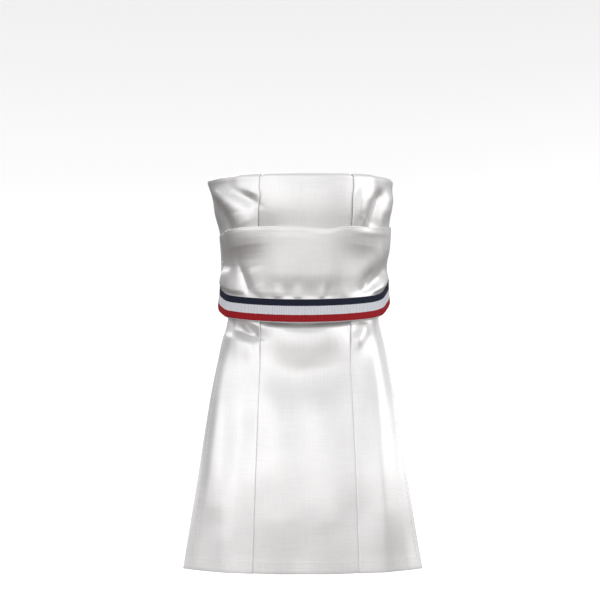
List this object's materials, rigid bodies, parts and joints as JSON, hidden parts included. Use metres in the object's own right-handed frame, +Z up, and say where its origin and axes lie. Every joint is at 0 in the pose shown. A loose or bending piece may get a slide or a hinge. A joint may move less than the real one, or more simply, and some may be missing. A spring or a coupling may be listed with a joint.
{
  "type": "stock tie",
  "caption": "Ready-tied riding stock: a satin neck band that closes at the back, a pleated front hanging as a bib, and a cross band edged with a striped ribbon.",
  "frame": {"origin": "on the neck's axis, in the middle of the neck opening's height, about 61 mm below the neck band's top edge", "axes": "+Z up along the neck, the wearer faces -Y, and +X is to the right as seen from the front"},
  "size_m": [0.1658, 0.169, 0.2775],
  "materials": {
    "satin": "white polyester satin with a soft gloss",
    "ribbon": "ribbed grosgrain in navy, white and red stripes",
    "hook_loop": "white hook-and-loop tape"
  },
  "bodies": {
    "root": {"neck_band": "satin", "pleated_front": "satin", "cross_band": "satin", "striped_ribbon": "ribbon", "hook_loop_patch": "hook_loop"}
  },
  "joints": []
}
